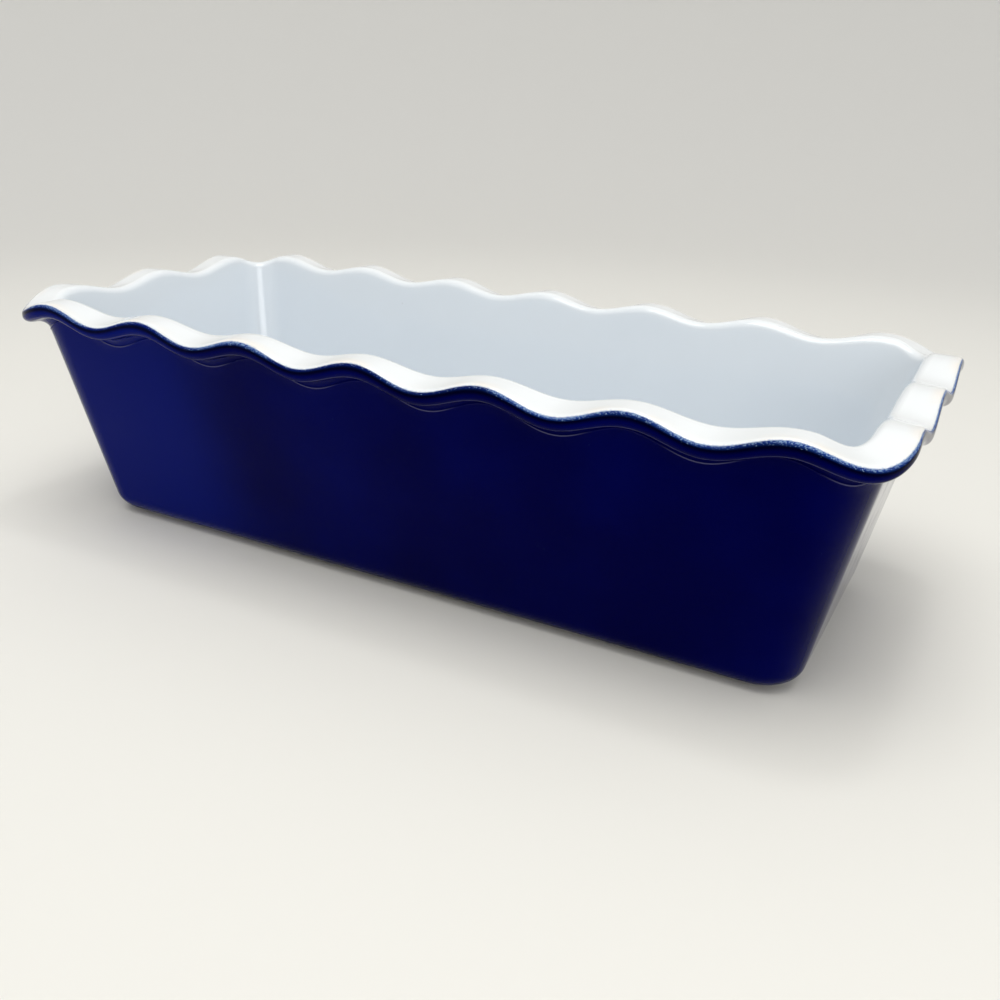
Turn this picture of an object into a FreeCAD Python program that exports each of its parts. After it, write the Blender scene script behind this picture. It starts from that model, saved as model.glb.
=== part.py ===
import FreeCAD, Part
import math
import os
import Sketcher

# A ceramic loaf pan: one fired clay body, drawn from its foot up the outside, over a
# ruffled lip and down the inside, with white glaze inside, blue glaze outside and a
# blue patch under the base.  Millimetres, +Z up, +X along the pan, and the origin in
# the middle of the plane it stands on.

os.makedirs("parts", exist_ok=True)
doc = FreeCAD.newDocument("loaf_pan")

# ---------------------------------------------------------------- driving dimensions
# Sizes are of the glazed pan, except the foot, which is bare clay.
DIMENSIONS = [
    ("rim_length", 320.0),           # over the lip, end to end
    ("rim_width", 143.0),            # over the lip, side to side
    ("rim_height", 85.5),            # table to the crown of the lip, halfway up a ruffle
    ("rim_corner_radius", 22.5),
    ("brim_corner_radius", 11.0),    # in plan, at the inner end of the brim's bend
    ("foot_corner_radius", 9.0),
    ("floor_corner_radius", 12.0),
    ("wall_lean", 11.5),             # degrees outward from upright
    ("wall_thickness", 7.0),
    ("floor_thickness", 6.5),
    ("lip_overhang", 6.2),           # lip edge beyond the outside of the wall
    ("lip_thickness", 5.4),
    ("lip_droop", 5.5),              # degrees down towards the edge
    ("lip_edge_round", 2.2),
    ("under_lip_fillet", 2.5),
    ("brim_bend_radius", 3.2),       # where the lip turns down into the inside wall
    ("base_edge_round", 8.5),
    ("floor_fillet", 11.0),
    ("ruffle_height", 5.0),          # crest above trough
    ("ruffle_flare", 0.3),           # the lip's edge goes out this much in a trough, in on a crest
    ("lip_underside_ruffle", 0.9),   # share of the ruffles on the lip's underside
    ("brim_bend_ruffle", 0.6),       # share of the ruffles left at the foot of the brim's bend
    ("side_sag", 0.9),               # of the long sides' lip, halfway along
    ("ruffles_per_side", 7.0),
    ("ruffles_per_end", 3.0),
    ("glaze_thickness", 0.4),
    ("glaze_break_facing", 42.0),    # white meets blue where the lip's edge faces this far up
    ("foot_height", 1.2),            # clay of the base above the table
    ("foot_ring_width", 5.0),
    ("recess_depth", 1.8),           # clay inside the foot ring, above the table
    ("recess_corner_radius", 5.0),
]
sheet = doc.addObject("Spreadsheet::Sheet", "dimensions")
for row, (alias, number) in enumerate(DIMENSIONS, start=1):
    sheet.set("A%d" % row, alias)
    sheet.set("B%d" % row, str(number))
    sheet.setAlias("B%d" % row, alias)
doc.recompute()

# Sizes that follow from the driving ones and are used by more than one piece.
DERIVED = {
    "base_plane": "dimensions.foot_height - dimensions.glaze_thickness",
    "lip_root": "dimensions.rim_height - dimensions.lip_thickness",
    "base_edge_top": "base_plane + dimensions.base_edge_round * (1 - sin(dimensions.wall_lean))",
    "foot_inset": "dimensions.lip_overhang + (lip_root - base_edge_top) * tan(dimensions.wall_lean)"
                  " + dimensions.base_edge_round * cos(dimensions.wall_lean)",
    "recess_length": "dimensions.rim_length - 2 * (foot_inset + dimensions.foot_ring_width)",
    "recess_width": "dimensions.rim_width - 2 * (foot_inset + dimensions.foot_ring_width)",
}
derived = doc.addObject("App::VarSet", "derived")
for name, formula in DERIVED.items():
    derived.addProperty("App::PropertyFloat", name)
    derived.setExpression(name, formula)
doc.recompute()


def size(name):
    """A driving dimension, read back from the sheet."""
    return float(getattr(sheet, name))


LEAN = math.radians(size("wall_lean"))
DROOP = math.radians(size("lip_droop"))
BREAK = math.radians(size("glaze_break_facing"))
QUARTER = math.pi / 2
FACES_WALL = -LEAN                    # facings, as angles up from straight outward
FACES_LIP_UNDERSIDE = -QUARTER - DROOP
FACES_LIP_TOP = QUARTER - DROOP
FACES_INSIDE_WALL = 2 * QUARTER - LEAN
GLAZE = size("glaze_thickness")
LARGEST_TURN = math.radians(18)       # between one station of a rounded edge and the next
POINTS_PER_RUFFLE = 10                # points along each ring's curves


# ---------------------------------------------------------------- section of wall and lip
class Station:
    """One point of the section: how far it lies outside the lip's edge line, so nearly
    always less than nothing, its height, the way the glazed surface faces there, the plan
    corner radius of the ring through it, and its share of the ruffles' rise and fall."""

    def __init__(self, out, up, facing):
        self.out = out
        self.up = up
        self.facing = facing
        self.corner = 0.0
        self.ruffle = 0.0


def arc(centre, radius, first, last):
    """Stations round a rounded edge between two facings.  A hollow has a radius below 0."""
    stations = []
    steps = math.ceil(abs(last - first) / LARGEST_TURN)
    for i in range(steps + 1):
        facing = first + (last - first) * i / steps
        out = centre[0] + radius * math.cos(facing)
        up = centre[1] + radius * math.sin(facing)
        stations.append(Station(out, up, facing))
    return stations


def outside_wall(up):
    """How far out the outside face of the wall is at a height."""
    return -size("lip_overhang") - (derived.lip_root - up) * math.tan(LEAN)


def inside_wall(up):
    """How far out the inside face of the wall is at a height."""
    return outside_wall(up) - size("wall_thickness") / math.cos(LEAN)


def lip_arcs():
    """The fillet under the lip, the two rounds of its edge, and the bend into the inside."""
    fillet = size("under_lip_fillet")
    edge = size("lip_edge_round")
    bend = size("brim_bend_radius")
    bend_up = size("rim_height") - bend
    bend_centre = (inside_wall(bend_up) + bend / math.cos(LEAN), bend_up)
    top_out = bend_centre[0] + (bend - edge) * math.cos(FACES_LIP_TOP)
    top_up = bend_centre[1] + (bend - edge) * math.sin(FACES_LIP_TOP)
    upper_centre = (-edge, top_up - (-edge - top_out) * math.tan(DROOP))
    lower_centre = (-edge, upper_centre[1] - (size("lip_thickness") - 2 * edge) / math.cos(DROOP))
    under_out = lower_centre[0] + (edge + fillet) * math.cos(FACES_LIP_UNDERSIDE)
    under_up = lower_centre[1] + (edge + fillet) * math.sin(FACES_LIP_UNDERSIDE)
    wall_out = outside_wall(0) + fillet / math.cos(LEAN)
    meet_up = under_up + (under_out - wall_out) * math.tan(DROOP)
    fillet_up = meet_up / (1 + math.tan(DROOP) * math.tan(LEAN))
    fillet_centre = (outside_wall(fillet_up) + fillet / math.cos(LEAN), fillet_up)
    under = arc(fillet_centre, -fillet, FACES_WALL, FACES_LIP_UNDERSIDE)
    lower = arc(lower_centre, edge, FACES_LIP_UNDERSIDE, 0)
    upper_blue = arc(upper_centre, edge, 0, BREAK)
    upper_white = arc(upper_centre, edge, BREAK, FACES_LIP_TOP)
    bent = arc(bend_centre, bend, FACES_LIP_TOP, FACES_INSIDE_WALL)
    for station in under + lower:
        station.ruffle = size("lip_underside_ruffle")
    for station in upper_blue:
        share = station.facing / BREAK
        station.ruffle = 1 - (1 - share) * (1 - size("lip_underside_ruffle"))
    top = upper_white + bent
    for station in top:
        share = (top[0].out - station.out) / (top[0].out - top[-1].out)
        station.ruffle = 1 - share * (1 - size("brim_bend_ruffle"))
    return under + lower + upper_blue, top


def base_arc():
    """The rounded bottom edge, from under the base to the outside wall."""
    radius = size("base_edge_round")
    return arc((-derived.foot_inset, derived.base_plane + radius), radius, -QUARTER, FACES_WALL)


def floor_arc():
    """The hollow round the floor, from the inside wall to the flat."""
    radius = size("floor_fillet")
    centre_up = derived.base_plane + size("floor_thickness") + radius
    centre = (inside_wall(centre_up) - radius / math.cos(LEAN), centre_up)
    return arc(centre, -radius, FACES_INSIDE_WALL, QUARTER)


lip_blue, lip_white = lip_arcs()
base_edge = base_arc()
floor_edge = floor_arc()
outside_part = base_edge + lip_blue
inside_part = lip_white + floor_edge


def corner_between(station, outer, outer_radius, inner, inner_radius):
    """A corner radius that shrinks in step as a ring moves in."""
    share = (outer - station.out) / (outer - inner)
    return outer_radius + share * (inner_radius - outer_radius)


for station in outside_part:
    station.corner = corner_between(
        station, 0, size("rim_corner_radius"), base_edge[0].out, size("foot_corner_radius"))
for station in lip_white:
    station.corner = corner_between(
        station, lip_blue[-1].out, lip_blue[-1].corner, lip_white[-1].out, size("brim_corner_radius"))
for station in floor_edge:
    station.corner = corner_between(
        station, lip_white[-1].out, lip_white[-1].corner, floor_edge[-1].out, size("floor_corner_radius"))


# ---------------------------------------------------------------- rings round the pan
# Side 0 is the +X end and side 1 the +Y side; corner 0 joins them, and so on round.
def ruffle(side, along):
    """Height of the ruffle, from -1 in a trough to 1 on a crest, at an arc length from the
    middle of a side.  Each corner has a trough in the middle of its turn."""
    radius = size("rim_corner_radius")
    run = (size("rim_width") if side % 2 == 0 else size("rim_length")) - 2 * radius
    count = size("ruffles_per_end") if side % 2 == 0 else size("ruffles_per_side")
    whole = run + radius * QUARTER
    return -math.cos(2 * math.pi * count * (along / whole + 0.5))


def ring_point(station, depth, side, kind, share):
    """A point of the ring that lies a depth under a station's glazed surface.  It is on a
    side or on the corner after it, at a share of that stretch from 0 to 1."""
    radius = station.corner - depth * math.cos(station.facing)
    out = station.out - depth * math.cos(station.facing)
    half = [size("rim_length") / 2 + out, size("rim_width") / 2 + out]
    reach = half[side % 2]
    run = half[1 - side % 2] - radius
    normal = FreeCAD.Vector(math.cos(side * QUARTER), math.sin(side * QUARTER), 0)
    along = FreeCAD.Vector(-normal.y, normal.x, 0)
    rim_radius = size("rim_corner_radius")
    rim_half = [size("rim_length") / 2, size("rim_width") / 2]
    rim_run = rim_half[1 - side % 2] - rim_radius
    sag = 0.0
    if kind == "side":
        place = normal * reach + along * run * (2 * share - 1)
        facing = normal
        wave = ruffle(side, rim_run * (2 * share - 1))
        if side % 2 == 1:
            sag = size("side_sag") * math.sin(math.pi * share) ** 2
    else:
        turn = share * QUARTER
        facing = normal * math.cos(turn) + along * math.sin(turn)
        place = normal * (reach - radius) + along * run + facing * radius
        if share <= 0.5:
            wave = ruffle(side, rim_run + rim_radius * turn)
        else:
            next_run = rim_half[side % 2] - rim_radius
            wave = ruffle(side + 1, -next_run - rim_radius * (QUARTER - turn))
    rise = station.ruffle * (wave * size("ruffle_height") / 2 - sag)
    height = station.up - depth * math.sin(station.facing) + rise
    near_edge = max(0.0, 1 + station.out / size("lip_overhang"))
    flare = -station.ruffle * wave * size("ruffle_flare") * near_edge
    slide = rise * math.tan(LEAN) * (1 - near_edge)
    return place + facing * (flare + slide) + FreeCAD.Vector(0, 0, height)


def ring(station, depth):
    """The closed wire round the pan through a station: four sides and four corners."""
    edges = []
    for side in range(4):
        for kind in ("side", "corner"):
            steps = POINTS_PER_RUFFLE
            if kind == "side":
                steps *= int(size("ruffles_per_end") if side % 2 == 0 else size("ruffles_per_side"))
            if station.ruffle == 0:
                start, middle, end = [ring_point(station, depth, side, kind, s) for s in (0, 0.5, 1)]
                curve = Part.LineSegment(start, end) if kind == "side" else Part.Arc(start, middle, end)
                edges.append(curve.toShape())
                continue
            points = [ring_point(station, depth, side, kind, i / steps) for i in range(steps + 1)]
            nudge = 1e-4
            first = ring_point(station, depth, side, kind, nudge) - points[0]
            last = points[-1] - ring_point(station, depth, side, kind, 1 - nudge)
            curve = Part.BSplineCurve()
            curve.interpolate(
                Points=points, Parameters=[i / steps for i in range(steps + 1)],
                InitialTangent=first / nudge, FinalTangent=last / nudge, Scale=False)
            edges.append(curve.toShape())
    return Part.Wire(edges)


def rings(stations, depth):
    """The rings through a run of stations, all a depth under the glazed surface."""
    return [ring(station, depth) for station in stations]


# ---------------------------------------------------------------- the pieces
def place_at_origin(piece):
    """Stand a piece in the pan's own frame."""
    piece.Placement = FreeCAD.Placement(FreeCAD.Vector(0, 0, 0), FreeCAD.Rotation())


def lofted(label, wires, closed):
    """A solid ruled from ring to ring.  It is closed round to its first ring, or else it is
    capped by flat faces at its first and last."""
    piece = doc.addObject("Part::Feature", label)
    piece.Label = label
    piece.Shape = Part.makeLoft(wires, True, True, closed)
    place_at_origin(piece)
    return piece


def rounded_slab(label, bottom, thickness):
    """A flat slab with the plan of the recess inside the foot ring, bound to the sheet."""
    body = doc.addObject("PartDesign::Body", label)
    body.Label = label
    plan = body.newObject("Sketcher::SketchObject", label + "_plan")
    base_plane = [f for f in body.Origin.OriginFeatures if f.Role == "XY_Plane"][0]
    plan.AttachmentSupport = (base_plane, "")
    plan.MapMode = "FlatFace"
    long_half = derived.recess_length / 2
    wide_half = derived.recess_width / 2
    radius = size("recess_corner_radius")
    normal = FreeCAD.Vector(0, 0, 1)
    for side in range(4):
        reach = [long_half, wide_half][side % 2]
        run = [wide_half, long_half][side % 2] - radius
        facing = FreeCAD.Vector(math.cos(side * QUARTER), math.sin(side * QUARTER), 0)
        along = FreeCAD.Vector(-facing.y, facing.x, 0)
        plan.addGeometry(Part.LineSegment(facing * reach - along * run, facing * reach + along * run))
        centre = facing * (reach - radius) + along * run
        circle = Part.Circle(centre, normal, radius)
        plan.addGeometry(Part.ArcOfCircle(circle, side * QUARTER, (side + 1) * QUARTER))
    start, end, curves = 1, 2, 8
    for curve in range(curves):
        plan.addConstraint(Sketcher.Constraint("Tangent", curve, end, (curve + 1) % curves, start))
    for corner in (3, 5, 7):
        plan.addConstraint(Sketcher.Constraint("Equal", 1, corner))
    for upright in (0, 4):
        plan.addConstraint(Sketcher.Constraint("Vertical", upright))
    for level in (2, 6):
        plan.addConstraint(Sketcher.Constraint("Horizontal", level))
    plan.addConstraint(Sketcher.Constraint("Symmetric", 0, start, 4, start, -1, start))
    sizes = [
        ("DistanceX", (4, start, 0, start), 2 * long_half, "derived.recess_length"),
        ("DistanceY", (6, start, 2, start), 2 * wide_half, "derived.recess_width"),
        ("Radius", (1,), radius, "dimensions.recess_corner_radius"),
    ]
    for kind, held_points, value, formula in sizes:
        held = plan.addConstraint(Sketcher.Constraint(kind, *held_points, value))
        plan.setExpression("Constraints[%d]" % held, formula)
    pad = body.newObject("PartDesign::Pad", label + "_pad")
    pad.Profile = plan
    pad.setExpression("Length", thickness)
    place_at_origin(body)
    body.setExpression("Placement.Base.z", bottom)
    return body


# The fired clay.  It is cast in one piece, and its foot ring is left bare.
foot = Station(base_edge[0].out, 0.0, -QUARTER)
foot.corner = base_edge[0].corner
clay_blank = lofted(
    "clay_blank", rings([foot], 0) + rings(outside_part + inside_part[1:], GLAZE), False)
recess = rounded_slab("foot_recess", "0", "dimensions.recess_depth")
clay = doc.addObject("Part::Cut", "clay_body")
clay.Label = "clay_body"
clay.Base = clay_blank
clay.Tool = recess

# The white glaze, from the floor up the inside and over the lip to the break in its edge.
white = lofted(
    "white_lining_glaze", rings(reversed(inside_part), GLAZE) + rings(inside_part, 0), False)

# The blue glaze, from the foot ring round the bottom edge, up the wall and over the edge of
# the lip to the same break.
blue = lofted(
    "blue_outer_glaze", rings(outside_part, GLAZE) + rings(reversed(outside_part), 0), True)

# The blue glaze on the underside, inside the foot ring.
base_glaze = rounded_slab(
    "blue_base_glaze", "dimensions.recess_depth - dimensions.glaze_thickness",
    "dimensions.glaze_thickness")

doc.recompute()

# ---------------------------------------------------------------- checks and files
pieces = [clay, white, blue, base_glaze]
for thing in doc.Objects:
    if "Invalid" in thing.State or "Error" in thing.State:
        raise RuntimeError("%s did not compute: %s" % (thing.Label, thing.State))
for piece in pieces:
    if piece.Shape.isNull() or not piece.Shape.isValid():
        raise RuntimeError("%s has no sound shape" % piece.Label)
    piece.Shape.exportStep("parts/%s.step" % piece.Label)
    box = piece.Shape.BoundBox
    print("%-20s %9.0f mm3, z %.2f to %.2f, %.1f x %.1f" % (
        piece.Label, piece.Shape.Volume, box.ZMin, box.ZMax, box.XLength, box.YLength))
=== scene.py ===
import math

import bmesh
import bpy
from mathutils import Matrix, Vector, noise


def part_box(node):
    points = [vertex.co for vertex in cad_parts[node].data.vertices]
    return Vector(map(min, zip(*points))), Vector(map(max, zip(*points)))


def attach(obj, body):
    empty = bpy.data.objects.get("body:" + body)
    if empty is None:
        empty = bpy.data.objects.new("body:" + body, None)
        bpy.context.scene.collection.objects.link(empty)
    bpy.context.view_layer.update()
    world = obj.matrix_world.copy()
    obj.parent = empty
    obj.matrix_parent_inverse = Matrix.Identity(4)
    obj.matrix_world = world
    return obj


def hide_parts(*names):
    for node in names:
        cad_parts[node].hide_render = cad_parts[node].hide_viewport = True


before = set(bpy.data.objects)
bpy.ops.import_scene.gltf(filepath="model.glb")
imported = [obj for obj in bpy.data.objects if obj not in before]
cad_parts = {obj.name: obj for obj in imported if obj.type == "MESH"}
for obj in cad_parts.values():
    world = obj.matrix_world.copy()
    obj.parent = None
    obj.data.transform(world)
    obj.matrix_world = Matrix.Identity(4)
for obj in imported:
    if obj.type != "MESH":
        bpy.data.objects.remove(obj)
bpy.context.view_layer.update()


# ------------------------------------------------------------------ fired clay body
# One casting in coarse reddish-brown stoneware: the floor, four sloping walls, a ruffled
# lip that overhangs them and a low foot ring.  It is dipped in glaze and fired, and only
# the foot ring is wiped bare, so that the pan doesn't stick to the kiln shelf.
MM = 0.001
QUARTER = math.pi / 2
WALL_LEAN = math.radians(11.5)
WALL_THICKNESS = 7.0 * MM
FLOOR_THICKNESS = 6.5 * MM
LIP_OVERHANG = 6.2 * MM
RIM_HEIGHT = 85.5 * MM                 # table to the crown of the lip, halfway up a ruffle
LIP_THICKNESS = 5.4 * MM
LIP_DROOP = math.radians(5.5)
LIP_EDGE_ROUND = 2.2 * MM
UNDER_LIP_FILLET = 2.5 * MM
UNDERSIDE_RUFFLE = 0.9                 # share of the ruffles on the lip's underside
BRIM_BEND = 3.2 * MM
BRIM_BEND_RUFFLE = 0.6                 # share of them left at the foot of the brim's bend
BASE_EDGE_ROUND = 8.5 * MM
FLOOR_FILLET = 11.0 * MM
RIDGE_HALF_WIDTH = 0.5 * MM            # a faint moulded ridge just under the lip's fillet
RIDGE_HEIGHT = 0.22 * MM
RIDGE_RUFFLE = 1.20                    # it rises and falls more than the lip
RIDGE_STEPS = 4                        # stations on each side of its crest
RUFFLE_RISE = 2.5 * MM                 # crest or trough, from the mean height of the lip
RUFFLE_FLARE = 0.3 * MM                # the edge goes out this much in a trough, in on a crest
SIDE_SAG = 0.9 * MM
RUFFLES_PER_SIDE = 7
RUFFLES_PER_END = 3
RIM_CORNER = 22.5 * MM
BRIM_CORNER = 11.0 * MM                # at the inner end of the brim's bend
FOOT_CORNER = 9.0 * MM
FLOOR_CORNER = 12.0 * MM
GLAZE = 0.4 * MM
GLAZE_BREAK = math.radians(42)         # white meets blue where the lip's edge faces this far up
FACET_TURN = 8                         # degrees from one station to the next round an edge
WALL_STEPS = 18
LIP_TOP_STEPS = 5
UNDER_LIP_STEPS = 2

clay_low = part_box("clay_body")[0]
blue_low, blue_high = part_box("blue_outer_glaze")
half_length = blue_high.x - RUFFLE_FLARE * UNDERSIDE_RUFFLE
half_width = blue_high.y - RUFFLE_FLARE * UNDERSIDE_RUFFLE
base_plane = blue_low.z
lip_root = RIM_HEIGHT - LIP_THICKNESS


class Station:
    """A point of the section through the wall: how far out from the lip's edge line and how
    high it is, which way the glazed surface faces there, and its share of the ruffles."""

    def __init__(self, out, up, facing, ruffle=0.0):
        self.out = out
        self.up = up
        self.facing = facing
        self.ruffle = ruffle
        self.corner = 0.0              # plan corner radius of the ring through it
        self.from_break = 0.0          # mm along the section from where white meets blue
        self.painted_reflection = 0.0                # how strongly the painted lilac reflection shows there, 0 to 1


def rounded(centre, radius, first, last, ruffle):
    """Stations round an edge between two facings; a hollow has a radius below 0."""
    steps = math.ceil(abs(math.degrees(last - first)) / FACET_TURN)
    facings = [first + (last - first) * i / steps for i in range(steps + 1)]
    return [Station(centre[0] + radius * math.cos(f), centre[1] + radius * math.sin(f), f, ruffle)
            for f in facings]


def straight(start, end, steps):
    """Stations evenly between two others, which aren't included."""
    between = []
    for i in range(1, steps):
        share = i / steps
        between.append(Station(start.out + (end.out - start.out) * share,
                               start.up + (end.up - start.up) * share, start.facing,
                               start.ruffle + (end.ruffle - start.ruffle) * share))
    return between


def outside_wall(up):
    return -LIP_OVERHANG - (lip_root - up) * math.tan(WALL_LEAN)


def inside_wall(up):
    return outside_wall(up) - WALL_THICKNESS / math.cos(WALL_LEAN)


underside, lip_top, inward = -QUARTER - LIP_DROOP, QUARTER - LIP_DROOP, 2 * QUARTER - WALL_LEAN
bend_up = RIM_HEIGHT - BRIM_BEND
bend_centre = (inside_wall(bend_up) + BRIM_BEND / math.cos(WALL_LEAN), bend_up)
edge_out = -LIP_EDGE_ROUND
reach = edge_out - bend_centre[0] - (BRIM_BEND - LIP_EDGE_ROUND) * math.cos(lip_top)
upper_up = bend_up + (BRIM_BEND - LIP_EDGE_ROUND) * math.sin(lip_top) - reach * math.tan(LIP_DROOP)
lower_up = upper_up - (LIP_THICKNESS - 2 * LIP_EDGE_ROUND) / math.cos(LIP_DROOP)
under_out = edge_out + (LIP_EDGE_ROUND + UNDER_LIP_FILLET) * math.cos(underside)
under_up = lower_up + (LIP_EDGE_ROUND + UNDER_LIP_FILLET) * math.sin(underside)
clear_out = outside_wall(0) + UNDER_LIP_FILLET / math.cos(WALL_LEAN)
fillet_up = ((under_up + (under_out - clear_out) * math.tan(LIP_DROOP))
             / (1 + math.tan(LIP_DROOP) * math.tan(WALL_LEAN)))
fillet_centre = (outside_wall(fillet_up) + UNDER_LIP_FILLET / math.cos(WALL_LEAN), fillet_up)
edge_top = base_plane + BASE_EDGE_ROUND * (1 - math.sin(WALL_LEAN))
foot_out = outside_wall(edge_top) - BASE_EDGE_ROUND * math.cos(WALL_LEAN)
floor_up = base_plane + FLOOR_THICKNESS + FLOOR_FILLET
floor_centre = (inside_wall(floor_up) - FLOOR_FILLET / math.cos(WALL_LEAN), floor_up)

base_centre = (foot_out, base_plane + BASE_EDGE_ROUND)
base_edge = rounded(base_centre, BASE_EDGE_ROUND, -QUARTER, -WALL_LEAN, 0)
under_lip = rounded(fillet_centre, -UNDER_LIP_FILLET, -WALL_LEAN, underside, UNDERSIDE_RUFFLE)
lower_edge = rounded((edge_out, lower_up), LIP_EDGE_ROUND, underside, 0, UNDERSIDE_RUFFLE)
upper_blue = rounded((edge_out, upper_up), LIP_EDGE_ROUND, 0, GLAZE_BREAK, 1)
upper_white = rounded((edge_out, upper_up), LIP_EDGE_ROUND, GLAZE_BREAK, lip_top, 1)
brim = rounded(bend_centre, BRIM_BEND, lip_top, inward, 1)
for station in upper_blue:
    station.ruffle = 1 - (1 - station.facing / GLAZE_BREAK) * (1 - UNDERSIDE_RUFFLE)
for station in upper_white + brim:
    share = (upper_white[0].out - station.out) / (upper_white[0].out - brim[-1].out)
    station.ruffle = 1 - share * (1 - BRIM_BEND_RUFFLE)
floor_edge = rounded(floor_centre, -FLOOR_FILLET, inward, QUARTER, 0)
ridge = []
for i in range(-RIDGE_STEPS, RIDGE_STEPS):
    share = i / RIDGE_STEPS
    along_wall = under_lip[0].up + (share - 1) * RIDGE_HALF_WIDTH
    stand = RIDGE_HEIGHT * math.cos(share * QUARTER) ** 2
    ridge.append(Station(outside_wall(along_wall) + stand, along_wall, -WALL_LEAN, RIDGE_RUFFLE))
    # The ridge's crest carries a painted reflection: a light lilac line, the paper's gleam in the
    # hollow under the lip.
    ridge[-1].painted_reflection = math.cos(share * QUARTER) ** 4
for i in range(len(under_lip)):
    share = i / (len(under_lip) - 1)
    under_lip[i].ruffle = RIDGE_RUFFLE + (UNDERSIDE_RUFFLE - RIDGE_RUFFLE) * share
outside = (base_edge + straight(base_edge[-1], ridge[0], WALL_STEPS) + ridge + under_lip
           + straight(under_lip[-1], lower_edge[0], UNDER_LIP_STEPS) + lower_edge + upper_blue[1:])
inside = (upper_white + straight(upper_white[-1], brim[0], LIP_TOP_STEPS) + brim
          + straight(brim[-1], floor_edge[0], WALL_STEPS) + floor_edge)
for station in outside:
    station.corner = RIM_CORNER - (RIM_CORNER - FOOT_CORNER) * station.out / foot_out
break_corner = upper_blue[-1].corner
for station in inside:
    if station.out >= brim[-1].out:
        share = (upper_blue[-1].out - station.out) / (upper_blue[-1].out - brim[-1].out)
        station.corner = break_corner + (BRIM_CORNER - break_corner) * share
    else:
        share = (brim[-1].out - station.out) / (brim[-1].out - floor_edge[-1].out)
        station.corner = BRIM_CORNER + (FLOOR_CORNER - BRIM_CORNER) * share
for run in (outside[::-1], inside):
    for last, station in zip(run, run[1:]):
        step = math.hypot(station.out - last.out, station.up - last.up)
        station.from_break = last.from_break + step / MM


POINTS_PER_RUFFLE = 20
SURFACE_WANDER = 0.10 * MM             # hand-fettled walls are never quite flat
WANDER_PER_METRE = 26
NEARLY_LEVEL = QUARTER * 1.05          # the floor faces no further round than this


def ruffle(side, along):
    """Height of the lip's wave, -1 to 1, at an arc length from the middle of a side; each
    corner has a trough in the middle of its turn."""
    run = 2 * ((half_width, half_length)[side % 2] - RIM_CORNER)
    count = (RUFFLES_PER_END, RUFFLES_PER_SIDE)[side % 2]
    return -math.cos(math.tau * count * (along / (run + RIM_CORNER * QUARTER) + 0.5))


def ring(station, depth):
    """The points round the pan that lie a depth under one station's glazed surface, each
    with how high its ruffle stands there, from -1 to 1."""
    corner = station.corner - depth * math.cos(station.facing)
    out = station.out - depth * math.cos(station.facing)
    up = station.up - depth * math.sin(station.facing)
    near_edge = max(0, 1 + station.out / LIP_OVERHANG)     # 1 at the lip's edge, 0 on the walls
    halves = (half_length + out, half_width + out)
    rim_halves = (half_length, half_width)
    points = []
    for side in range(4):
        square = side * QUARTER
        facing_side = Vector((math.cos(square), math.sin(square), 0))
        along = Vector((-facing_side.y, facing_side.x, 0))
        run = halves[1 - side % 2] - corner
        rim_run = rim_halves[1 - side % 2] - RIM_CORNER
        next_run = rim_halves[side % 2] - RIM_CORNER
        steps = POINTS_PER_RUFFLE * (RUFFLES_PER_END, RUFFLES_PER_SIDE)[side % 2]
        stretches = []
        for i in range(steps):
            from_middle = 2 * i / steps - 1
            place = facing_side * halves[side % 2] + along * run * from_middle
            sag = SIDE_SAG * math.sin(math.pi * i / steps) ** 2 * (side % 2)     # long sides only
            stretches.append((facing_side, place, ruffle(side, rim_run * from_middle), sag))
        for i in range(POINTS_PER_RUFFLE):
            turn = QUARTER * i / POINTS_PER_RUFFLE
            facing = facing_side * math.cos(turn) + along * math.sin(turn)
            place = facing_side * (halves[side % 2] - corner) + along * run + facing * corner
            if turn <= QUARTER / 2:
                wave = ruffle(side, rim_run + RIM_CORNER * turn)
            else:
                wave = ruffle(side + 1, -next_run - RIM_CORNER * (QUARTER - turn))
            stretches.append((facing, place, wave, 0))
        for facing, place, wave, sag in stretches:
            rise = station.ruffle * (wave * RUFFLE_RISE - sag)
            flare = -station.ruffle * wave * RUFFLE_FLARE * near_edge
            slide = rise * math.tan(WALL_LEAN) * (1 - near_edge)
            point = place + facing * (flare + slide)
            point.z = up + rise
            surface = facing * math.cos(station.facing) + Vector((0, 0, math.sin(station.facing)))
            if abs(station.facing) < QUARTER or station.facing > NEARLY_LEVEL:
                wander = noise.noise(Vector((point.x, point.y, station.up)) * WANDER_PER_METRE)
                point += surface * SURFACE_WANDER * wander
            points.append((point, wave * station.ruffle))
    return points


def coat_mesh(name, courses, closed):
    """A closed mesh over courses of equal length, each a station and its ring: joined back
    to its first course, or capped by flat faces at its first and last."""
    mesh = bmesh.new()
    marks = {key: mesh.verts.layers.float.new(key) for key in ("from_break", "painted_reflection", "crest")}
    loops = []
    for station, ring_points in courses:
        loop = []
        for point, crest in ring_points:
            vertex = mesh.verts.new(point)
            vertex[marks["from_break"]] = station.from_break
            vertex[marks["painted_reflection"]] = station.painted_reflection
            vertex[marks["crest"]] = crest
            loop.append(vertex)
        loops.append(loop)
    count = len(loops[0])
    pairs = list(zip(loops, loops[1:])) + ([(loops[-1], loops[0])] if closed else [])
    for lower, upper in pairs:
        for i in range(count):
            j = (i + 1) % count
            mesh.faces.new((lower[i], lower[j], upper[j], upper[i]))
    if not closed:
        mesh.faces.new(loops[0][::-1])
        mesh.faces.new(loops[-1])
    bmesh.ops.recalc_face_normals(mesh, faces=mesh.faces)
    for face in mesh.faces:
        face.smooth = True
    data = bpy.data.meshes.new(name)
    mesh.to_mesh(data)
    mesh.free()
    piece = bpy.data.objects.new(name, data)
    bpy.context.scene.collection.objects.link(piece)
    return piece


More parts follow.
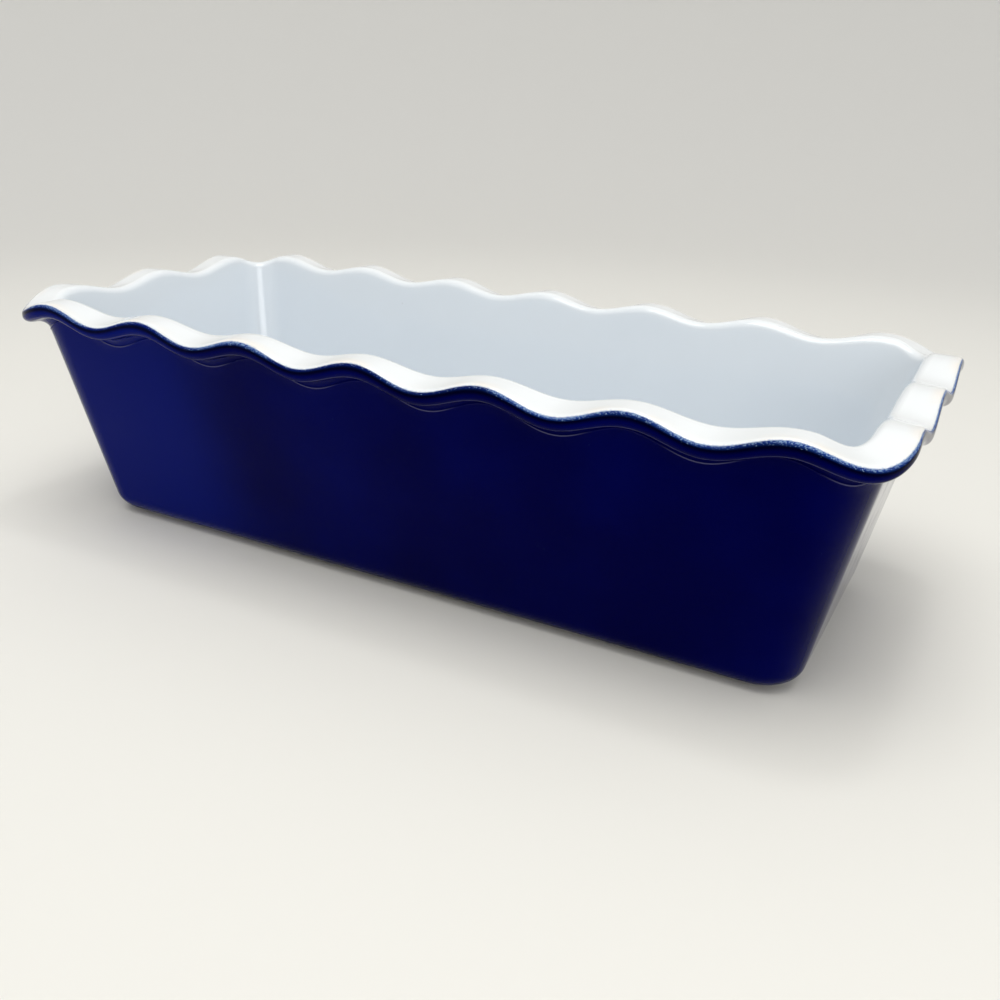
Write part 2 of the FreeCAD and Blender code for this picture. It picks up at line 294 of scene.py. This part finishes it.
def finish(name, colour, roughness):
    """A new material of one colour and roughness, ready for more nodes."""
    material = bpy.data.materials.new(name)
    material.use_nodes = True
    shader = material.node_tree.nodes["Principled BSDF"]
    shader.inputs["Base Color"].default_value = (*colour, 1)
    shader.inputs["Roughness"].default_value = roughness
    return material, shader


def node(material, kind, inputs, output=0, **settings):
    """Adds a node, fills its inputs with values or links, and gives back one output."""
    made = material.node_tree.nodes.new("ShaderNode" + kind)
    for key, value in settings.items():
        setattr(made, key, value)
    for key, value in inputs.items():
        if isinstance(value, bpy.types.NodeSocket):
            material.node_tree.links.new(value, made.inputs[key])
        else:
            made.inputs[key].default_value = value
    return made.outputs[output]


def place_on(material):
    return node(material, "TexCoord", {}, "Object")


def cloud(material, per_metre, detail=2.0, roughness=0.5):
    """Soft noise in the pan's own space, from 0 to 1."""
    return node(material, "TexNoise", {"Vector": place_on(material), "Scale": per_metre,
                                       "Detail": detail, "Roughness": roughness}, "Fac")


def spots(material, per_metre):
    """The distance to the nearest of many scattered spots, in shares of their spacing."""
    return node(material, "TexVoronoi", {"Vector": place_on(material), "Scale": per_metre},
                "Distance")


def mark(material, name):
    return node(material, "Attribute", {}, "Fac", attribute_name=name)


def ramp(material, value, start, end, low=0.0, high=1.0):
    """A smooth step from low to high as a value goes from start to end."""
    return node(material, "MapRange", {"Value": value, "From Min": start, "From Max": end,
                                       "To Min": low, "To Max": high},
                interpolation_type="SMOOTHSTEP")


def arithmetic(material, operation, first, second):
    return node(material, "Math", {0: first, 1: second}, operation=operation)


COLOUR_FACTOR, COLOUR_A, COLOUR_B, COLOUR_RESULT = 0, 6, 7, 2    # sockets of a colour mix


def blend_colours(material, share, first, second):
    """Two colours, or two links, mixed by a share."""
    sockets = {COLOUR_FACTOR: share}
    for socket, colour in ((COLOUR_A, first), (COLOUR_B, second)):
        sockets[socket] = colour if isinstance(colour, bpy.types.NodeSocket) else (*colour, 1)
    return node(material, "Mix", sockets, COLOUR_RESULT, data_type="RGBA")


def link(material, value, shader, socket):
    material.node_tree.links.new(value, shader.inputs[socket])


def raise_grain(material, shader, height, strength, distance):
    """Fine relief of the surface, on the shader's normal."""
    bump = node(material, "Bump", {"Height": height, "Strength": strength, "Distance": distance})
    link(material, bump, shader, "Normal")


def every_other(stations):
    """Every other station of a run, with its last one kept."""
    return stations[::2] if len(stations) % 2 else stations[:-1:2] + stations[-1:]


FOOT_ROUND = 0.5 * MM
foot_sole = Station(foot_out - FOOT_ROUND, clay_low.z, -QUARTER)
foot_side = Station(foot_out, clay_low.z + FOOT_ROUND, 0)
for station in (foot_sole, foot_side):
    station.corner = FOOT_CORNER
clay_courses = [(foot_sole, ring(foot_sole, 0)), (foot_side, ring(foot_side, 0))]
clay_courses += [(s, ring(s, GLAZE)) for s in every_other(outside) + every_other(inside)]
clay = coat_mesh("fired_clay_body", clay_courses, False)

CLAY_RED = (0.30, 0.125, 0.065)
CLAY_BUFF = (0.42, 0.21, 0.12)
CLAY_IRON = (0.05, 0.022, 0.015)       # dark grains
fired_clay, clay_shader = finish("fired_clay", CLAY_RED, 0.85)
clay_tone = blend_colours(fired_clay, cloud(fired_clay, 60, 4), CLAY_RED, CLAY_BUFF)
grog = ramp(fired_clay, cloud(fired_clay, 1400, 2), 0.62, 0.72)
link(fired_clay, blend_colours(fired_clay, grog, clay_tone, CLAY_IRON), clay_shader, "Base Color")
clay_roughness = ramp(fired_clay, cloud(fired_clay, 500), 0.3, 0.7, 0.7, 0.95)
link(fired_clay, clay_roughness, clay_shader, "Roughness")
raise_grain(fired_clay, clay_shader, cloud(fired_clay, 1800, 4, 0.7), 0.6, 0.2 * MM)
clay.data.materials.append(fired_clay)
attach(clay, "root")
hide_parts("clay_body")


# ------------------------------------------------------------------ white lining
# Glossy white glaze, poured inside and run over the lip to a line in its edge, where the
# blue starts.  It is bluer in patches where it lies thick, and thin and creamy over the
# outer margin of the lip, above all on the ruffles' crests, with a few pinholes.  Its top
# over the lip is painted a lighter white than the inside: painted light on the upward face.
FLOOR_STEPS = 8
FLOOR_STRIP = 4 * MM                   # half the width of the flat left in the middle
FLOOR_STRIP_CORNER = FLOOR_STRIP * 0.6
floor_start = floor_edge[-1]
floor_rings = []
for i in range(1, FLOOR_STEPS + 1):
    share = i / FLOOR_STEPS
    floor_station = Station(floor_start.out - share * (half_width + floor_start.out - FLOOR_STRIP),
                            floor_start.up, QUARTER)
    floor_station.corner = FLOOR_CORNER + (FLOOR_STRIP_CORNER - FLOOR_CORNER) * share
    floor_station.from_break = floor_start.from_break
    floor_rings.append(floor_station)
white_courses = [(s, ring(s, 0)) for s in reversed(inside + floor_rings)]
white_courses += [(s, ring(s, GLAZE)) for s in inside]
white = coat_mesh("white_lining", white_courses, False)

WHITE = (0.715, 0.765, 0.81)
WHITE_POOLED = (0.665, 0.72, 0.78)
# A lighter copy of the same white: painted light on the lip's upward top, against the shaded inside.
WHITE_LIP_PAINTED_LIGHT = (0.79, 0.815, 0.83)
CREAM = (0.84, 0.765, 0.67)
PALE_BLUE = (0.42, 0.50, 0.68)
PINHOLE = (0.30, 0.24, 0.20)
PINHOLES_PER_METRE = 55
PAINTED_LIP_LIGHT_ENDS = (9, 15)               # mm from the break, over which the painted light on the lip's top fades out
CREAM_FADES = (0.2, 5.5)
BREAK_GRAINS_PER_METRE = 2600
white_glaze, white_shader = finish("white_glaze", WHITE, 0.08)
white_shader.inputs["Specular IOR Level"].default_value = 0.7
run_off = mark(white_glaze, "from_break")
pooled = cloud(white_glaze, 18, 3)
tone = blend_colours(white_glaze, pooled, WHITE, WHITE_POOLED)
# Painted light: the lip's top gets the lighter white, fading out inside the bend.
on_lip = ramp(white_glaze, run_off, *PAINTED_LIP_LIGHT_ENDS, 1, 0)
tone = blend_colours(white_glaze, on_lip, tone, WHITE_LIP_PAINTED_LIGHT)
margin = ramp(white_glaze, run_off, *CREAM_FADES, 1, 0)
crest = ramp(white_glaze, mark(white_glaze, "crest"), -0.6, 0.8, 0.1, 0.6)
patchy = ramp(white_glaze, cloud(white_glaze, 95, 4), 0.35, 0.7)
creamy = arithmetic(white_glaze, "MULTIPLY", margin, crest)
creamy = arithmetic(white_glaze, "MULTIPLY", creamy, patchy)
tone = blend_colours(white_glaze, creamy, tone, CREAM)
near_blue = ramp(white_glaze, run_off, 0.0, 0.8, 0.30, -0.3)
grains = cloud(white_glaze, BREAK_GRAINS_PER_METRE, 1, 0.5)
ragged = arithmetic(white_glaze, "ADD", near_blue, grains)
tone = blend_colours(white_glaze, ramp(white_glaze, ragged, 0.60, 0.74), tone, PALE_BLUE)
pinholes = ramp(white_glaze, spots(white_glaze, PINHOLES_PER_METRE), 0.012, 0.022, 0.55, 0)
link(white_glaze, blend_colours(white_glaze, pinholes, tone, PINHOLE), white_shader, "Base Color")
white_roughness = ramp(white_glaze, cloud(white_glaze, 120), 0.3, 0.7, 0.05, 0.10)
link(white_glaze, white_roughness, white_shader, "Roughness")
raise_grain(white_glaze, white_shader, cloud(white_glaze, 260), 0.25, 0.05 * MM)
white.data.materials.append(white_glaze)
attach(white, "root")
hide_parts("white_lining_glaze")


# ------------------------------------------------------------------ blue outer coat
# Glossy cobalt glaze on the outside, from the line in the lip's edge down to the foot ring,
# where it is wiped off.  It is speckled at the line, near-black just under it, royal blue
# in patches right at it, and paler towards one end of the pan.  A lilac line along the
# lip's lower edge and the ridge is painted reflection: the gleam of the pale paper.
# The lilac line along the lip's lower edge and on the ridge is a painted reflection: the gleam of the
# pale paper where those edges turn away.
REFLECTION_PEAK = 0.7
REFLECTION_FACING = -54                  # degrees, on the lip's lower edge, where the painted reflection is strongest
REFLECTION_SPREAD = 10
for station in lower_edge:
    aside = (math.degrees(station.facing) - REFLECTION_FACING) / REFLECTION_SPREAD
    station.painted_reflection = REFLECTION_PEAK * math.exp(-aside ** 2)
blue_courses = [(s, ring(s, 0)) for s in outside]
blue_courses += [(s, ring(s, GLAZE)) for s in reversed(outside)]
blue = coat_mesh("blue_outer_coat", blue_courses, True)

COBALT = (0.0001, 0.0012, 0.070)
COBALT_THICK = (0.0001, 0.0002, 0.038)
COBALT_PALE = (0.0004, 0.0045, 0.120)
COBALT_NEAR_BLACK = (0.0001, 0.0002, 0.006)
ROYAL_BLUE = (0.014, 0.050, 0.250)
# Not a glaze colour: the lilac of the painted reflection of the pale paper.
PAINTED_REFLECTION_LILAC = (0.090, 0.090, 0.190)
SALT = (0.24, 0.36, 0.55)
SPECK = (0.20, 0.24, 0.34)
COBALT_SHEEN = (0.0, 0.02, 0.6, 1)
PALER_END_SPAN = (-0.095, -0.05)             # m along the pan, over which the paler blue at one end fades out
SALT_GRAINS_PER_METRE = 2800
SPECKS_PER_METRE = 42
blue_glaze, blue_shader = finish("blue_glaze", COBALT, 0.08)
blue_shader.inputs["Specular IOR Level"].default_value = 0.045
blue_shader.inputs["Specular Tint"].default_value = COBALT_SHEEN
run_on = mark(blue_glaze, "from_break")
swirl = cloud(blue_glaze, 14, 3)
tone = blend_colours(blue_glaze, ramp(blue_glaze, swirl, 0.3, 0.7), COBALT, COBALT_THICK)
# The blue is paler towards one end of the pan.
lengthwise = node(blue_glaze, "SeparateXYZ", {0: place_on(blue_glaze)}, "X")
paler_end = ramp(blue_glaze, lengthwise, *PALER_END_SPAN, 1, 0)
tone = blend_colours(blue_glaze, paler_end, tone, COBALT_PALE)
# A near-black band just under the line.
near_black_band = arithmetic(blue_glaze, "MULTIPLY", ramp(blue_glaze, run_on, 0.4, 1.1),
                         ramp(blue_glaze, run_on, 1.6, 2.9, 0.9, 0))
tone = blend_colours(blue_glaze, near_black_band, tone, COBALT_NEAR_BLACK)
# In patches just under the line the blue is a lighter royal blue.
stretch_cloud = cloud(blue_glaze, 26, 3)
royal_patches = arithmetic(blue_glaze, "MULTIPLY", ramp(blue_glaze, run_on, 0.2, 1.5, 1, 0),
                      ramp(blue_glaze, stretch_cloud, 0.4, 0.62, 0.2, 1))
tone = blend_colours(blue_glaze, royal_patches, tone, ROYAL_BLUE)
# The painted reflection shows only in the troughs of the ruffles and on the lip itself.
in_troughs = ramp(blue_glaze, mark(blue_glaze, "crest"), -1.2, 0.3, 1, 0)
on_lip = ramp(blue_glaze, run_on, 7, 9, 1, 0)
shown = arithmetic(blue_glaze, "MAXIMUM", in_troughs, on_lip)
reflection_line = ramp(blue_glaze, mark(blue_glaze, "painted_reflection"), 0.15, 1, 0, 0.8)
reflection_line = arithmetic(blue_glaze, "MULTIPLY", reflection_line, ramp(blue_glaze, run_on, 2.2, 2.6))
reflection_line = arithmetic(blue_glaze, "MULTIPLY", reflection_line, shown)
tone = blend_colours(blue_glaze, reflection_line, tone, PAINTED_REFLECTION_LILAC)
near_break = ramp(blue_glaze, run_on, 0.0, 1.9, 0.11, -0.25)
salted = ramp(blue_glaze, stretch_cloud, 0.35, 0.6, -0.10, 0.05)
salted = arithmetic(blue_glaze, "ADD", salted, near_break)
grains = arithmetic(blue_glaze, "ADD", cloud(blue_glaze, SALT_GRAINS_PER_METRE, 1, 0.5), salted)
tone = blend_colours(blue_glaze, ramp(blue_glaze, grains, 0.60, 0.68, 0, 0.85), tone, SALT)
specked_parts = ramp(blue_glaze, cloud(blue_glaze, 16, 1), 0.52, 0.56)
specks = ramp(blue_glaze, spots(blue_glaze, SPECKS_PER_METRE), 0.012, 0.02, 0.7, 0)
specks = arithmetic(blue_glaze, "MULTIPLY", specks, specked_parts)
link(blue_glaze, blend_colours(blue_glaze, specks, tone, SPECK), blue_shader, "Base Color")
blue_roughness = ramp(blue_glaze, cloud(blue_glaze, 90), 0.3, 0.7, 0.05, 0.10)
link(blue_glaze, blue_roughness, blue_shader, "Roughness")
raise_grain(blue_glaze, blue_shader, cloud(blue_glaze, 240), 0.2, 0.05 * MM)
blue.data.materials.append(blue_glaze)
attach(blue, "root")
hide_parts("blue_outer_glaze")


# ------------------------------------------------------------------ blue patch under the base
# The same cobalt glaze, brushed on the shallow recess inside the foot ring.  Its margin is
# drawn up the side of the ring, so that the patch is a little hollow.
RECESS_CORNER = 5.0 * MM
LEAST_CORNER = 1 * MM
PATCH_DISH = 0.08 * MM                 # how hollow it is
FAR_FROM_BREAK = 100                   # mm, clear of the speckled line
patch_low, patch_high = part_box("blue_base_glaze")
patch_courses = []
patch_insets = [(patch_high.z, 0.0), (patch_low.z, 0.0), (patch_low.z + PATCH_DISH * 0.7, 0.8 * MM)]
patch_insets += [(patch_low.z + PATCH_DISH, inset * MM) for inset in (2.5, 12, 24, 34)]
for up, inset in patch_insets:
    course = Station(patch_high.x - half_length - inset, up, -QUARTER)
    course.corner = max(RECESS_CORNER - inset, LEAST_CORNER)
    course.from_break = FAR_FROM_BREAK
    patch_courses.append((course, ring(course, 0)))
patch = coat_mesh("blue_base_patch", patch_courses, False)
patch.data.materials.append(blue_glaze)
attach(patch, "root")
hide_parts("blue_base_glaze")


# ------------------------------------------------------------------ studio sweep
# A round sheet of pale paper, flat under the pan and curving up smoothly all round it, so
# that no horizon shows from any side.  It is painted darker away from the pan: painted
# shade where less light reaches the paper.
SWEEP_FLAT = 0.70
SWEEP_REACH = 1.0
SWEEP_HEIGHT = 1.3
SWEEP_CURVE = 2.8
SWEEP_CURVE_STEPS = 40
SWEEP_SIDES = 128
PAPER = (0.785, 0.775, 0.735)
PAPER_PAINTED_SHADE = (0.71, 0.705, 0.685)
sweep_radii = [0.0001, 0.15, 0.3, 0.5]
sweep_radii += [SWEEP_FLAT + SWEEP_REACH * i / SWEEP_CURVE_STEPS for i in range(SWEEP_CURVE_STEPS + 1)]
sweep_mesh = bmesh.new()
hoops = []
for radius in sweep_radii:
    up = SWEEP_HEIGHT * (max(0, radius - SWEEP_FLAT) / SWEEP_REACH) ** SWEEP_CURVE
    hoop = []
    for i in range(SWEEP_SIDES):
        turn = math.tau * i / SWEEP_SIDES
        hoop.append(sweep_mesh.verts.new((radius * math.cos(turn), radius * math.sin(turn), up)))
    hoops.append(hoop)
for inner, outer in zip(hoops, hoops[1:]):
    for i in range(SWEEP_SIDES):
        j = (i + 1) % SWEEP_SIDES
        sweep_mesh.faces.new((inner[i], outer[i], outer[j], inner[j])).smooth = True
sweep_data = bpy.data.meshes.new("studio_sweep")
sweep_mesh.to_mesh(sweep_data)
sweep_mesh.free()
sweep = bpy.data.objects.new("studio_sweep", sweep_data)
bpy.context.scene.collection.objects.link(sweep)
paper, paper_shader = finish("sweep_paper", PAPER, 0.9)
paper_shader.inputs["Specular IOR Level"].default_value = 0.1
from_pan = node(paper, "VectorMath", {0: place_on(paper)}, "Value", operation="LENGTH")
# Painted shade: the paper grows darker away from the pan, where less light reaches it.
paper_tone = blend_colours(paper, ramp(paper, from_pan, 0.3, 1.2), PAPER, PAPER_PAINTED_SHADE)
link(paper, paper_tone, paper_shader, "Base Color")
sweep_data.materials.append(paper)


# ------------------------------------------------------------------ studio light
# A soft dome of light, one large lamp over the front of the pan, a low one beside the
# camera that draws the highlights along the bends of the lip, and a small bright one
# almost straight above that makes them crisp.
def soft_lamp(name, place, target, size, power, colour, spread=180):
    """A round softbox; a spread under 180 degrees is a grid that keeps it off the paper."""
    lamp = bpy.data.lights.new(name, "AREA")
    lamp.spread = math.radians(spread)
    lamp.shape = "DISK"
    lamp.size = size
    lamp.energy = power
    lamp.color = colour
    holder = bpy.data.objects.new(name, lamp)
    holder.location = place
    holder.rotation_euler = (Vector(target) - Vector(place)).to_track_quat("-Z", "Y").to_euler()
    bpy.context.scene.collection.objects.link(holder)


soft_lamp("overhead_lamp", (0.12, -0.30, 1.30), (0, 0, 0), 1.1, 8.8, (1.0, 0.99, 0.96))
soft_lamp("camera_lamp", (0.75, -0.70, 0.40), (0, 0, 0.05), 0.6, 0.35, (1.0, 0.99, 0.97), 70)
soft_lamp("sparkle_lamp", (0.10, 0.10, 1.10), (0, 0, 0.05), 0.16, 0.8, (1.0, 1.0, 1.0))
dome = bpy.data.worlds.new("studio_dome")
bpy.context.scene.world = dome
dome.use_nodes = True
DOME_STRENGTH = 0.72
DOME_LOW = (0.80, 0.80, 0.79)
DOME_HIGH = (1.0, 1.0, 1.0)
direction = node(dome, "TexCoord", {}, "Generated")
height = node(dome, "SeparateXYZ", {0: direction}, "Z")
sky = blend_colours(dome, ramp(dome, height, 0.2, 1), DOME_LOW, DOME_HIGH)
background = dome.node_tree.nodes["Background"]
dome.node_tree.links.new(sky, background.inputs["Color"])
background.inputs["Strength"].default_value = DOME_STRENGTH


# ------------------------------------------------------------------ camera
# Hand-held height, a little right of the middle of the front and close to the pan, with a
# moderately wide lens and a slight roll.
CAMERA_PLACE = Vector((181.4, -317.9, 167.0)) * MM
CAMERA_YAW, CAMERA_PITCH, CAMERA_ROLL = 0.4827, 0.3878, 0.03537     # radians
CAMERA_LENS = 37.3                     # mm, as is the sensor
SENSOR_WIDTH = 36
level = Vector((math.cos(CAMERA_YAW), math.sin(CAMERA_YAW), 0))
view = Vector((-math.sin(CAMERA_YAW) * math.cos(CAMERA_PITCH),
               math.cos(CAMERA_YAW) * math.cos(CAMERA_PITCH), -math.sin(CAMERA_PITCH)))
upward = level.cross(view)
frame_right = level * math.cos(CAMERA_ROLL) + upward * math.sin(CAMERA_ROLL)
frame_up = upward * math.cos(CAMERA_ROLL) - level * math.sin(CAMERA_ROLL)
turned = Matrix((frame_right, frame_up, -view)).transposed().to_4x4()
camera_data = bpy.data.cameras.new("studio_camera")
camera_data.sensor_width = SENSOR_WIDTH
camera_data.lens = CAMERA_LENS
camera = bpy.data.objects.new("studio_camera", camera_data)
bpy.context.scene.collection.objects.link(camera)
camera.matrix_world = Matrix.Translation(CAMERA_PLACE) @ turned
bpy.context.scene.camera = camera
bpy.context.scene.view_settings.view_transform = "Standard"
